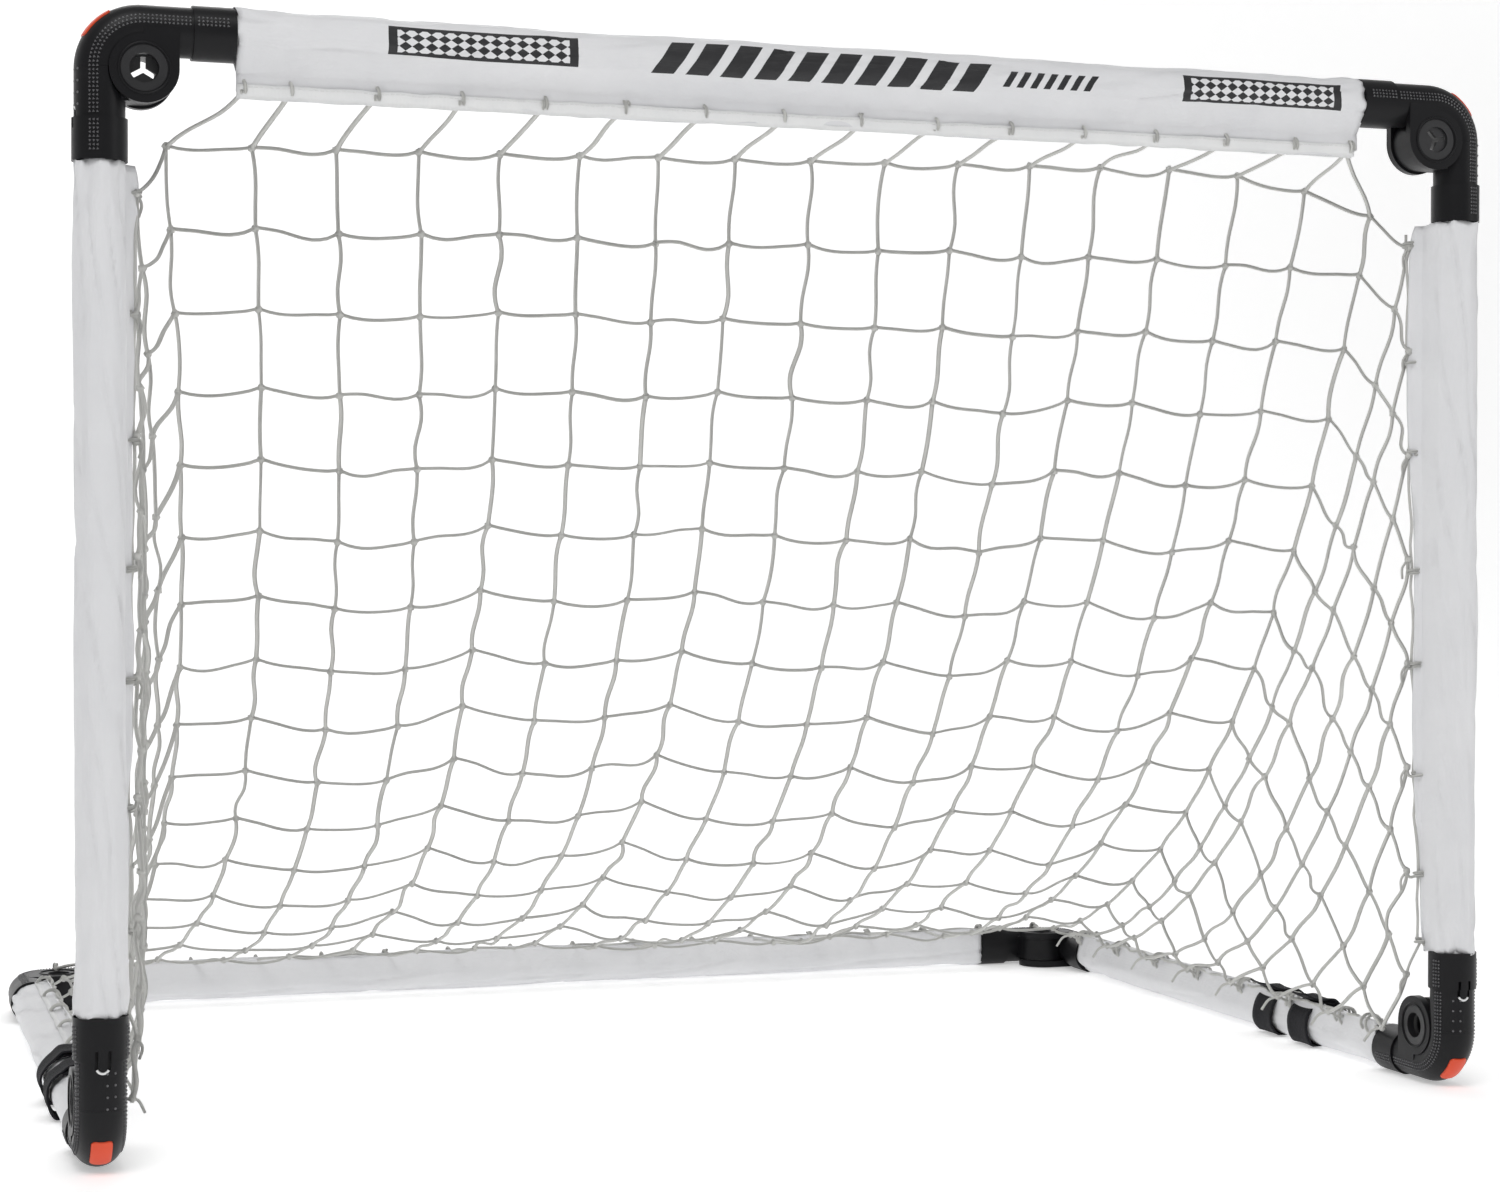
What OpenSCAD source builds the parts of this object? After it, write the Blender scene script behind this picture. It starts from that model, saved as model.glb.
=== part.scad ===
// Folding goal for children's ball games: six sleeved tubes, six hinged corner elbows and a net.

/* [Frame] */
// Distance between the two post axes
frame_w = 1164; // [1100:2:1200]
// Height of the crossbar axis above the base, and depth from the posts to the rear bar
frame_h = 840; // [800:2:860]
// Height of the base tube axes above the ground
base_z = 20; // [20:0.5:20.5]

/* [Tubes] */
// Outer diameter of a tube
tube_d = 32; // [31:0.5:32]
// Wall of a tube
tube_wall = 1.8; // [1.2:0.1:3]

/* [Elbows] */
// Outer radius of an elbow's body
body_r = 19; // [18.5:0.1:19]
// Outer radius of the collar at a socket's mouth
collar_r = 20.75; // [20.5:0.05:21]
// Distance from the corner to the collar
collar_start = 68; // [62:1:72]
// Distance from the corner to a socket's mouth
socket_end = 100; // [92:1:110]
// Distance from the corner to a socket's floor
socket_floor = 50; // [50:1:52]
// Distance of the hinge from each of the two tube axes
hinge_off = 31; // [31:0.5:32]
// Radius of the round ears of a bend
ear_r = 26; // [25:0.5:27]
// Half the outer width across the ears
ear_w = 19.5; // [19:0.1:20]
// Half the inner width between the ears
ear_gap = 12.5; // [12:0.1:13]

/* [Hinge pin] */
// Radius of the pin's barrel
pin_r = 14; // [13:0.25:14.5]
// Radius of the pin's heads
head_r = 17.3; // [16.5:0.1:18]
// Thickness of a pin's head
head_t = 2.6; // [2:0.1:3]
// Width of each arm of the three-armed slot through the pin
slot_w = 4; // [2:0.1:4.5]
// Length of each arm of the slot
slot_l = 9.6; // [8:0.1:10]
// Radius of a hinge pin's hollow
hollow_r = 11; // [10.2:0.1:12]
// Thickness of a hinge pin's web
web_t = 3; // [2:0.25:4]

/* [Lock button] */
// Length of a button along the bend
button_l = 28; // [22:1:30]
// Width of a button
button_w = 16; // [12:1:18]
// How far a button stands proud
button_up = 1; // [0.5:0.1:1.5]

/* [Sleeves] */
// Outer radius of a fabric sleeve
sleeve_r = 22.5; // [21.5:0.5:23]
// Inner radius of a fabric sleeve
sleeve_in = 18.5; // [17:0.5:19]
// Outer radius of a hook-and-loop strap
strap_r = 24.5; // [23.5:0.5:25]
// Width of a strap
strap_l = 36; // [25:1:45]
// Distance from the front corner to the first strap's middle
strap_at = 232; // [180:1:260]
// Distance between the two straps
strap_step = 70; // [50:1:90]

/* [Net] */
// Thickness of the space a net panel takes
net_t = 2; // [1:0.5:10]
// How far the back panel hangs inward of a straight line, before its skew towards the rear bar
net_sag = 175; // [60:5:190]

/* [Hidden] */

$fn = 48;
tube_r = tube_d / 2;
bore_r = tube_r + 0.1;
tongue_r = ear_r - 2;
tongue_fit = 0.4;
tongue_open = 5.5;
run_gap = 0.06;
seam = 0.15;
post_x = frame_w / 2;
front_y = -frame_h / 2;
rear_y = frame_h / 2;
top_z = base_z + frame_h;
bar_len = frame_w - 2 * socket_floor - 0.4;
post_len = frame_h - 2 * socket_floor - 0.4;
big = 3000;
plastic = [0.06, 0.06, 0.065];
cloth = [0.93, 0.93, 0.94];

// Button geometry along the direction from the hinge to the outer corner
button_in = hinge_off + body_r - 7;
pocket_in = button_in - 7;
stem_tip = 29;
stem_r = 2.5;

// Net panel outline from the crossbar's hem to the rear bar, as [y, z] points
net_top = [front_y + 28, top_z - 22];
net_end = [rear_y - 12, base_z + 27];
net_steps = 12;
net_side_x = post_x - 30;
function net_point(t) = [
    net_top[0] + (net_end[0] - net_top[0]) * t - net_sag * 0.707 * 4 * t * (1 - t) * (0.55 + 0.45 * t),
    net_top[1] + (net_end[1] - net_top[1]) * t - net_sag * 0.707 * 4 * t * (1 - t) * (0.55 + 0.45 * t)
];
net_line = [for (i = [0:net_steps]) net_point(i / net_steps)];

// ---------- elbow frame: corner at the origin, bend arm along +X, socket arm along +Y ----------

module at_top_left() {
    translate([-post_x, front_y, top_z]) rotate([-90, 0, 0]) children();
}
module at_front_left() {
    translate([-post_x, front_y, base_z]) rotate([90, 0, 90]) children();
}
module at_rear_left() {
    translate([-post_x, rear_y, base_z]) rotate([0, 0, -90]) children();
}
module right_side() {
    mirror([1, 0, 0]) children();
}
module above_ground() {
    difference() {
        children();
        translate([-big / 2, -big / 2, -big]) cube(big);
    }
}

module slab(half, r) {
    translate([hinge_off, hinge_off, -half]) cylinder(r = r, h = 2 * half);
}

// Outline of one ear round the hinge, down to the arm of the bend
module ear_outline() {
    translate([hinge_off, hinge_off]) circle(r = ear_r, $fn = 64);
    translate([hinge_off, 0]) square([ear_r, hinge_off]);
}

// Space of a lock button: a block with round corners, from radius r0 outwards
module button_block(r0, grow) {
    len = button_l + 2 * grow;
    wid = button_w + 2 * grow;
    round_r = 4 + grow;
    translate([hinge_off, hinge_off, 0]) rotate([0, 0, 225]) translate([r0, 0, 0]) rotate([0, 90, 0])
        linear_extrude(height = 20) union() {
            square([wid - 2 * round_r, len], center = true);
            square([wid, len - 2 * round_r], center = true);
            for (a = [-1, 1], b = [-1, 1])
                translate([a * (wid / 2 - round_r), b * (len / 2 - round_r)]) circle(r = round_r, $fn = 32);
        }
}

module quarter_torus(r) {
    translate([hinge_off, hinge_off, 0]) rotate([0, 0, 180]) rotate_extrude(angle = 90, $fn = 72)
        translate([hinge_off, 0]) circle(r = r, $fn = 48);
}

// Bend of an elbow: quarter bend round the hinge, socket, and the two ears
module bend(open = false) {
    color(plastic) difference() {
        union() {
            quarter_torus(body_r);
            translate([hinge_off, 0, 0]) rotate([0, 90, 0]) cylinder(r = body_r, h = collar_start - hinge_off);
            translate([collar_start, 0, 0]) rotate([0, 90, 0])
                cylinder(r = collar_r, h = socket_end - collar_start);
            for (s = [-1, 1]) translate([0, 0, s > 0 ? ear_gap : -ear_w])
                linear_extrude(height = ear_w - ear_gap) ear_outline();
        }
        // room for the tongue
        slab(ear_gap, tongue_r + 0.8);
        if (open) translate([-8, 8, 0]) slab(ear_gap - 0.2, tongue_r + 0.8);
        // tube socket
        translate([socket_floor, 0, 0]) rotate([0, 90, 0]) cylinder(r = bore_r, h = socket_end);
        // hinge bore and the recesses of the pin's heads
        slab(ear_w + 1, pin_r + run_gap);
        for (s = [-1, 1]) translate([hinge_off, hinge_off, s > 0 ? ear_w - 3 : -ear_w - 1])
            cylinder(r = head_r + 0.2, h = 4);
        // button pocket and stem hole
        button_block(pocket_in, 0.3);
        translate([hinge_off, hinge_off, 0]) rotate([0, 0, 225]) rotate([0, 90, 0])
            cylinder(r = stem_r + 0.3, h = pocket_in + 1);
    }
}

// Straight socket of an elbow with the tongue that turns between the ears
module socket(open = false) {
    half = ear_gap - (open ? tongue_open : tongue_fit);
    color(plastic) difference() {
        union() {
            difference() {
                union() {
                    translate([0, hinge_off + seam, 0]) rotate([-90, 0, 0])
                        cylinder(r = body_r, h = collar_start - hinge_off);
                    translate([0, collar_start, 0]) rotate([-90, 0, 0])
                        cylinder(r = collar_r, h = socket_end - collar_start);
                }
                for (s = [-1, 1]) translate([hinge_off, hinge_off, s > 0 ? half : -half - 20])
                    cylinder(r = ear_r + 0.6, h = 20);
            }
            slab(half, tongue_r);
            translate([0, hinge_off + seam, -half]) cube([hinge_off, tongue_r - seam, 2 * half]);
        }
        translate([0, socket_floor, 0]) rotate([-90, 0, 0]) cylinder(r = bore_r, h = socket_end);
        slab(ear_w + 1, pin_r + run_gap);
        // lock notches in the tongue's rim
        for (a = [135, 225]) translate([hinge_off, hinge_off, -3]) rotate([0, 0, a])
            translate([tongue_r - 3, -3, 0]) cube([6, 6, 6]);
        // slot round the snap tab that holds the tube
        snap_slot();
    }
}

// U-shaped slot through the outer wall of a socket
module snap_slot() {
    translate([-collar_r - 2, collar_start - 4, 0]) rotate([0, 90, 0]) linear_extrude(height = 7) difference() {
        union() {
            circle(r = 6, $fn = 32);
            translate([-6, 0]) square([12, 12]);
        }
        circle(r = 3.6, $fn = 32);
        translate([-3.6, 0]) square([7.2, 14]);
    }
}

module pin_slot() {
    for (a = [90, 210, 330]) rotate([0, 0, a]) translate([0, -slot_w / 2, -ear_w]) cube([slot_l, slot_w, 2 * ear_w]);
}

// A hollow hinge pin with a head at each end and a web with a three-armed slot, web_deep below the head.
// Where the elbow is open it is two short pins, one in each ear, so that the tongue can slide out.
module pin(open = false, web_deep = 2, turn = 0) {
    head_top = ear_w - 3 + head_t;
    bore_end = open ? 0 : web_deep + web_t - head_top;
    color([0.12, 0.12, 0.125]) translate([hinge_off, hinge_off, 0]) rotate([0, 0, turn]) difference() {
        union() {
            for (s = [-1, 1]) {
                translate([0, 0, s > 0 ? ear_w - 3 : -head_top]) cylinder(r = head_r, h = head_t);
                if (open) translate([0, 0, s > 0 ? ear_gap : 3 - ear_w - 0.01])
                    cylinder(r = pin_r, h = ear_w - ear_gap - 3 + 0.01);
            }
            if (!open) translate([0, 0, 2.9 - ear_w]) cylinder(r = pin_r, h = 2 * ear_w - 5.8);
        }
        translate([0, 0, -head_top - 1]) cylinder(r = hollow_r, h = web_deep + 1);
        translate([0, 0, bore_end]) cylinder(r = hollow_r, h = head_top - bore_end + 1);
        pin_slot();
    }
}

// Lock button, flush with the bend, and its stem
module button() {
    color([0.93, 0.29, 0.13]) union() {
        intersection() {
            quarter_torus(body_r + button_up);
            button_block(button_in, 0);
        }
        translate([hinge_off, hinge_off, 0]) rotate([0, 0, 225]) translate([stem_tip, 0, 0]) rotate([0, 90, 0])
            cylinder(r = stem_r, h = button_in - stem_tip + 2, $fn = 24);
    }
}

// Coil spring under a button, swept as a six-sided wire
coil_r = 4.6;
wire_r = 0.6;
coil_turns = 3;
coil_steps = 12;
coil_len = button_in - pocket_in - 2 * wire_r - 0.4;
function coil_ring(i) = [
    for (k = [0:5]) let (a = 360 * i / coil_steps, b = 60 * k, r = coil_r + wire_r * cos(b))
        [r * cos(a), r * sin(a), coil_len * i / (coil_turns * coil_steps) + wire_r * sin(b)]
];
module coil() {
    last = coil_turns * coil_steps;
    points = [for (i = [0:last]) each coil_ring(i)];
    sides = [for (i = [0:last - 1], k = [0:5])
        [6 * i + k, 6 * i + (k + 1) % 6, 6 * i + 6 + (k + 1) % 6, 6 * i + 6 + k]];
    ends = [[5, 4, 3, 2, 1, 0], [for (k = [0:5]) 6 * last + k]];
    polyhedron(points = points, faces = concat(sides, ends));
}
module button_spring() {
    color([0.7, 0.7, 0.72]) translate([hinge_off, hinge_off, 0]) rotate([0, 0, 225])
        translate([pocket_in + wire_r + 0.2, 0, 0]) rotate([0, 90, 0]) coil();
}

// ---------- tubes, sleeves and straps, along +X from the middle of the tube ----------

module tube(len) {
    color([0.92, 0.92, 0.92]) rotate([0, 90, 0]) difference() {
        cylinder(r = tube_r, h = len, center = true);
        cylinder(r = tube_r - tube_wall, h = len + 2, center = true);
    }
}
module sleeve(len) {
    color(cloth) rotate([0, 90, 0]) difference() {
        cylinder(r = sleeve_r, h = len, center = true);
        cylinder(r = sleeve_in, h = len + 2, center = true);
    }
}
module strap() {
    color([0.05, 0.05, 0.05]) rotate([0, 90, 0]) difference() {
        cylinder(r = strap_r, h = strap_l, center = true);
        cylinder(r = sleeve_r + 0.1, h = strap_l + 2, center = true);
    }
}
module on_crossbar() {
    translate([0, front_y, top_z]) children();
}
module on_left_post() {
    translate([-post_x, front_y, base_z + frame_h / 2]) rotate([0, 90, 0]) children();
}
module on_left_side() {
    translate([-post_x, 0, base_z]) rotate([0, 0, 90]) children();
}
module on_rear_bar() {
    translate([0, rear_y, base_z]) children();
}
module side_strap(k) {
    above_ground() on_left_side() translate([front_y + strap_at + strap_step * k, 0, 0]) strap();
}
module side_sleeve() {
    // the cut face stands just clear of the ground
    difference() {
        on_left_side() sleeve(frame_h - 2 * socket_end);
        translate([-big / 2, -big / 2, -big + 0.3]) cube(big);
    }
}
module rear_sleeve() {
    difference() {
        on_rear_bar() sleeve(frame_w - 2 * socket_end);
        translate([-big / 2, -big / 2, -big + 0.3]) cube(big);
    }
}

// ---------- net ----------

// Back panel: a sheet along the hanging line from the crossbar to the rear bar
module net_back_panel() {
    low = [for (i = [net_steps:-1:0]) net_line[i] - [0.707, 0.707] * net_t];
    color([0.9, 0.9, 0.9]) rotate([90, 0, 90]) translate([0, 0, -net_side_x + net_t + 1])
        linear_extrude(height = 2 * (net_side_x - net_t - 1)) polygon(concat(net_line, low));
}
// Side panel: from the post to the back panel, above the side tube
module net_side_panel() {
    outline = concat(net_line, [[net_top[0], net_end[1]]]);
    color([0.9, 0.9, 0.9]) rotate([90, 0, 90]) translate([0, 0, -net_side_x])
        linear_extrude(height = net_t) polygon(outline);
}

// ---------- nodes ----------

on_crossbar() tube(bar_len);  // crossbar_tube
on_crossbar() sleeve(frame_w - 2 * socket_end);  // crossbar_sleeve
at_top_left() bend();  // top_left_bend
right_side() at_top_left() bend();  // top_right_bend
at_top_left() pin(web_deep = 9, turn = 180);  // top_left_pin
right_side() at_top_left() pin(turn = -20);  // top_right_pin
at_top_left() button();  // top_left_button
right_side() at_top_left() button();  // top_right_button
at_top_left() button_spring();  // top_left_spring
right_side() at_top_left() button_spring();  // top_right_spring

on_left_post() tube(post_len);  // left_post_tube
on_left_post() sleeve(frame_h - 2 * socket_end);  // left_post_sleeve
at_top_left() socket();  // left_post_top_socket
at_front_left() socket(open = true);  // left_post_foot_socket
right_side() on_left_post() tube(post_len);  // right_post_tube
right_side() on_left_post() sleeve(frame_h - 2 * socket_end);  // right_post_sleeve
right_side() at_top_left() socket();  // right_post_top_socket
right_side() at_front_left() socket(open = true);  // right_post_foot_socket

on_left_side() tube(post_len);  // left_side_tube
side_sleeve();  // left_side_sleeve
side_strap(0);  // left_front_strap
side_strap(1);  // left_rear_strap
above_ground() at_front_left() bend(open = true);  // left_front_bend
above_ground() at_rear_left() bend();  // left_rear_bend
at_front_left() pin(open = true);  // left_front_pin
at_rear_left() pin();  // left_rear_pin
at_front_left() button();  // left_front_button
at_rear_left() button();  // left_rear_button
at_front_left() button_spring();  // left_front_spring
at_rear_left() button_spring();  // left_rear_spring

right_side() on_left_side() tube(post_len);  // right_side_tube
right_side() side_sleeve();  // right_side_sleeve
right_side() side_strap(0);  // right_front_strap
right_side() side_strap(1);  // right_rear_strap
right_side() above_ground() at_front_left() bend(open = true);  // right_front_bend
right_side() above_ground() at_rear_left() bend();  // right_rear_bend
right_side() at_front_left() pin(open = true);  // right_front_pin
right_side() at_rear_left() pin();  // right_rear_pin
right_side() at_front_left() button();  // right_front_button
right_side() at_rear_left() button();  // right_rear_button
right_side() at_front_left() button_spring();  // right_front_spring
right_side() at_rear_left() button_spring();  // right_rear_spring

on_rear_bar() tube(bar_len);  // rear_bar_tube
rear_sleeve();  // rear_bar_sleeve
above_ground() at_rear_left() socket();  // rear_left_socket
right_side() above_ground() at_rear_left() socket();  // rear_right_socket

net_back_panel();  // net_back
net_side_panel();  // net_left
right_side() net_side_panel();  // net_right
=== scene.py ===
"""Folding goal: sleeved tubes on hinged black elbows, with a square-mesh cord net."""

import math

import bmesh
import bpy
import numpy as np
from mathutils import Matrix, Vector, noise


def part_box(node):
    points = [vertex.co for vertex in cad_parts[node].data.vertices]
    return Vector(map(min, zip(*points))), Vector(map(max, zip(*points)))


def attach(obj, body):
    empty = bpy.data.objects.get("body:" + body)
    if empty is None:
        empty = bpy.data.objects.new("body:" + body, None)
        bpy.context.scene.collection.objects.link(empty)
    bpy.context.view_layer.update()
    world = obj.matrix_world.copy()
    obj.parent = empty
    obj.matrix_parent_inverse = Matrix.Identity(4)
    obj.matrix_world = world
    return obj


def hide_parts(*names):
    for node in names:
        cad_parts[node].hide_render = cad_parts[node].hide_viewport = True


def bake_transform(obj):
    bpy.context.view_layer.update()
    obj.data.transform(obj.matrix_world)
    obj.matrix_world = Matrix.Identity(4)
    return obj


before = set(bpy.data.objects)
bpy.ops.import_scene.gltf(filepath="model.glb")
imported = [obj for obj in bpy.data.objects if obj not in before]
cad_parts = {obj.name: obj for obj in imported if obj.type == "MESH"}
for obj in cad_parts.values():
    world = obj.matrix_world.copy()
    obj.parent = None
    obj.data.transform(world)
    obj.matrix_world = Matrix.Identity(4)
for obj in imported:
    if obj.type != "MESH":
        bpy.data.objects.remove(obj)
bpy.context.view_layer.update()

# ------------------------ places from the frame


def middle(node):
    """The middle of a CAD part's box."""
    low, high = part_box(node)
    return (Vector(low) + Vector(high)) / 2


def size(node):
    """The size of a CAD part's box."""
    low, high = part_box(node)
    return Vector(high) - Vector(low)


POST_X = abs(middle("left_post_tube").x)
FRONT_Y = middle("left_post_tube").y
REAR_Y = middle("rear_bar_tube").y
BASE_Z = middle("left_side_tube").z
TOP_Z = middle("crossbar_tube").z
WIDTH = 2 * POST_X
HEIGHT = TOP_Z - BASE_Z
HINGE = middle("top_left_pin").x + POST_X  # distance of a hinge from the two tube axes
SOCKET_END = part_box("top_left_bend")[1][0] + POST_X  # how far an elbow reaches along each of its tubes
COLLAR_R = size("top_left_bend").y / 2
EAR_W = COLLAR_R - 1.25e-3  # half the width across a bend's ears
BODY_R = EAR_W - 0.5e-3  # radius of an elbow's arm between the bend and the collar
SIDE_WORD = {-1: "left", 1: "right"}

# ------------------------ camera

# It stands outside the left post at half the goal's height, and looks to the right.
camera = bpy.data.objects.new("camera", bpy.data.cameras.new("camera"))
bpy.context.collection.objects.link(camera)
camera.location = (-0.9245 * HEIGHT, FRONT_Y - 2.5618 * HEIGHT, BASE_Z + 0.521 * HEIGHT)
yaw, pitch, roll = (math.radians(a) for a in (18.199, -0.608, 0.074))
forward = Vector((math.sin(yaw) * math.cos(pitch), math.cos(yaw) * math.cos(pitch), math.sin(pitch)))
camera.rotation_mode = "QUATERNION"
tilt = Matrix.Rotation(roll, 3, "Z").to_quaternion()
camera.rotation_quaternion = forward.to_track_quat("-Z", "Y") @ tilt
camera.data.sensor_width = 36
camera.data.lens = 67.39
camera.data.clip_start = 0.05
camera.data.clip_end = 60
bpy.context.scene.camera = camera

# ------------------------ materials


class Shader:
    """A principled material and short ways to add the nodes it needs."""

    def __init__(self, name, colour, rough, **plain):
        self.material = bpy.data.materials.new(name)
        self.material.use_nodes = True
        self.tree = self.material.node_tree
        self.out = self.tree.nodes["Principled BSDF"]
        self.out.inputs["Base Color"].default_value = (*colour, 1)
        self.out.inputs["Roughness"].default_value = rough
        for socket, value in plain.items():
            self.out.inputs[socket.replace("_", " ")].default_value = value
        self.place = self.tree.nodes.new("ShaderNodeTexCoord")

    def join(self, a, b):
        self.tree.links.new(a, b)

    def noise(self, scale, detail=3.0, rough=0.5):
        n = self.tree.nodes.new("ShaderNodeTexNoise")
        n.inputs["Scale"].default_value = scale
        n.inputs["Detail"].default_value = detail
        n.inputs["Roughness"].default_value = rough
        self.join(self.place.outputs["Object"], n.inputs["Vector"])
        return n.outputs["Fac"]

    def wave(self, scale, direction):
        n = self.tree.nodes.new("ShaderNodeTexWave")
        n.bands_direction = direction
        n.inputs["Scale"].default_value = scale
        self.join(self.place.outputs["Object"], n.inputs["Vector"])
        return n.outputs["Fac"]

    def math(self, kind, *values):
        """One step of arithmetic on numbers or on other nodes' results."""
        n = self.tree.nodes.new("ShaderNodeMath")
        n.operation = kind
        for socket, value in zip(n.inputs, values):
            if isinstance(value, (int, float)):
                socket.default_value = value
            else:
                self.join(value, socket)
        return n.outputs[0]

    def ramp(self, source, low, high):
        n = self.tree.nodes.new("ShaderNodeMapRange")
        self.join(source, n.inputs["Value"])
        n.inputs["To Min"].default_value = low
        n.inputs["To Max"].default_value = high
        return n.outputs["Result"]

    def tint(self, source, first, second):
        self.join(self.tint_between(source, first, second), self.out.inputs["Base Color"])

    def tint_between(self, source, first, second):
        n = self.tree.nodes.new("ShaderNodeValToRGB")
        n.color_ramp.elements[0].color = (*first, 1)
        n.color_ramp.elements[1].color = (*second, 1)
        self.join(source, n.inputs["Fac"])
        return n.outputs["Color"]

    def mix(self, mask, colour, over):
        """The base colour is over where mask is 1, and colour elsewhere."""
        n = self.tree.nodes.new("ShaderNodeMix")
        n.data_type = "RGBA"
        under, top, result = n.inputs[6], n.inputs[7], n.outputs[2]  # this node's colour sockets
        self.join(mask, n.inputs["Factor"])
        self.join(colour, under)
        top.default_value = (*over, 1)
        self.join(result, self.out.inputs["Base Color"])

    def rough(self, source, low, high):
        self.join(self.ramp(source, low, high), self.out.inputs["Roughness"])

    def bump(self, *layers):
        """layers are (height, distance in metres, strength)."""
        normal = None
        for height, distance, strength in layers:
            n = self.tree.nodes.new("ShaderNodeBump")
            n.inputs["Distance"].default_value = distance
            n.inputs["Strength"].default_value = strength
            self.join(height, n.inputs["Height"])
            if normal:
                self.join(normal, n.inputs["Normal"])
            normal = n.outputs["Normal"]
        self.join(normal, self.out.inputs["Normal"])


def sleeve_material(name, printed=False):
    s = Shader(name, (0.83, 0.83, 0.845), 0.46, Sheen_Weight=0.1)
    blotch = s.tint_between(s.noise(9, 4, 0.6), (0.69, 0.695, 0.715), (0.82, 0.82, 0.83))
    if printed:
        s.mix(banner_mask(s), blotch, (0.012, 0.012, 0.014))
    else:
        s.join(blotch, s.out.inputs["Base Color"])
    s.rough(s.noise(60, 3), 0.36, 0.56)
    weave = s.math("MULTIPLY", s.wave(420, "X"), s.wave(420, "Z"))
    weave = s.math("ADD", weave, s.wave(420, "Y"))
    s.bump((s.noise(17, 4, 0.55), 0.012, 0.35), (s.noise(55, 5, 0.62), 0.003, 0.3), (weave, 0.0002, 0.35))
    return s.material


def banner_mask(s):
    """1 where the crossbar's sleeve is printed: a long row of slanted bars between two chequered plates."""
    split = s.tree.nodes.new("ShaderNodeSeparateXYZ")
    s.join(s.place.outputs["UV"], split.inputs["Vector"])
    u, v = split.outputs["X"], split.outputs["Y"]

    def inside(value, low, high):
        return s.math("MULTIPLY", s.math("GREATER_THAN", value, low), s.math("LESS_THAN", value, high))

    def area(u_low, u_high, v_low, v_high):
        return s.math("MULTIPLY", inside(u, u_low, u_high), inside(v, v_low, v_high))

    def leaning(start, pitch, slant):
        """How many pitches past start a place is, along lines that lean as they go round the sleeve."""
        along = s.math("ADD", u, s.math("MULTIPLY", v, slant))
        return s.math("MULTIPLY", s.math("SUBTRACT", along, start), 1 / pitch)

    def stripes(place, share):
        return s.math("LESS_THAN", s.math("FRACT", place), share)

    def bars(start, count, pitch, share, v_low, v_high):
        """A row of whole slanted bars."""
        place = leaning(start, pitch, 0.55)
        row = s.math("MULTIPLY", inside(place, 0.0, count), inside(v, v_low, v_high))
        return s.math("MULTIPLY", row, stripes(place, share))

    def plate(start, long, v_low, v_high):
        """A printed plate with a border, and diamond checks inside it."""
        check_lean, check_pitch = 1.2, 0.0205
        first, second = (stripes(leaning(0.0, check_pitch, lean), 0.5) for lean in (check_lean, -check_lean))
        checks = s.math("ABSOLUTE", s.math("SUBTRACT", first, second))
        hole = area(start + 0.007, start + long - 0.007, v_low + 0.003, v_high - 0.003)
        return s.math("SUBTRACT", area(start, start + long, v_low, v_high), s.math("MULTIPLY", hole, checks))

    total = s.math("ADD", bars(0.392, 10, 0.0285, 0.66, 0.0905, 0.1225),
                   bars(0.688, 7, 0.0122, 0.5, 0.0985, 0.1155))
    for start in (0.115, 0.79):
        total = s.math("ADD", total, plate(start, 0.150, 0.0925, 0.1205))
    return s.math("MINIMUM", total, 1.0)


def hem_material():
    s = Shader("hem_tape", (0.86, 0.86, 0.85), 0.7)
    s.tint(s.noise(40, 4), (0.76, 0.77, 0.78), (0.9, 0.9, 0.89))
    rib = s.math("ADD", s.wave(300, "X"), s.wave(300, "Y"))
    s.bump((s.noise(70, 4), 0.002, 0.4), (rib, 0.0004, 0.5))
    return s.material


def black_plastic():
    s = Shader("moulded_black", (0.007, 0.007, 0.008), 0.42, Specular_IOR_Level=0.2)
    s.tint(s.noise(14, 4), (0.005, 0.005, 0.0058), (0.011, 0.011, 0.0125))
    s.rough(s.noise(34, 5, 0.65), 0.3, 0.46)
    s.bump((s.noise(1500, 2), 0.00015, 0.5), (s.noise(30, 3), 0.0006, 0.12))
    return s.material


def pin_plastic():
    s = Shader("pin_black", (0.016, 0.016, 0.017), 0.38)
    s.tint(s.noise(40, 3), (0.011, 0.011, 0.012), (0.022, 0.022, 0.024))
    s.rough(s.noise(90, 4), 0.3, 0.5)
    s.bump((s.noise(1300, 2), 0.00012, 0.4))
    return s.material


def button_plastic():
    s = Shader("button_orange", (0.74, 0.062, 0.012), 0.34)
    s.tint(s.noise(30, 3), (0.66, 0.05, 0.009), (0.8, 0.078, 0.016))
    s.rough(s.noise(120, 4), 0.28, 0.45)
    s.bump((s.noise(900, 2), 0.0001, 0.4))
    return s.material


def tube_plastic():
    s = Shader("tube_white", (0.8, 0.8, 0.8), 0.36)
    s.tint(s.noise(20, 3), (0.76, 0.77, 0.78), (0.84, 0.84, 0.84))
    s.rough(s.noise(80, 4), 0.3, 0.45)
    s.bump((s.noise(500, 2), 0.0001, 0.3))
    return s.material


def steel():
    s = Shader("spring_steel", (0.6, 0.6, 0.62), 0.3, Metallic=1.0)
    s.rough(s.noise(200, 4), 0.22, 0.42)
    s.bump((s.noise(800, 2), 0.00005, 0.4))
    return s.material


def strap_material():
    s = Shader("hook_loop_black", (0.008, 0.008, 0.01), 0.88, Sheen_Weight=0.05, Specular_IOR_Level=0.25)
    s.tint(s.noise(300, 4, 0.7), (0.004, 0.004, 0.005), (0.016, 0.016, 0.021))
    fuzz = s.noise(1700, 3, 0.7)
    s.bump((fuzz, 0.0007, 0.8), (s.wave(330, "Y"), 0.0003, 0.4))
    return s.material


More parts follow.
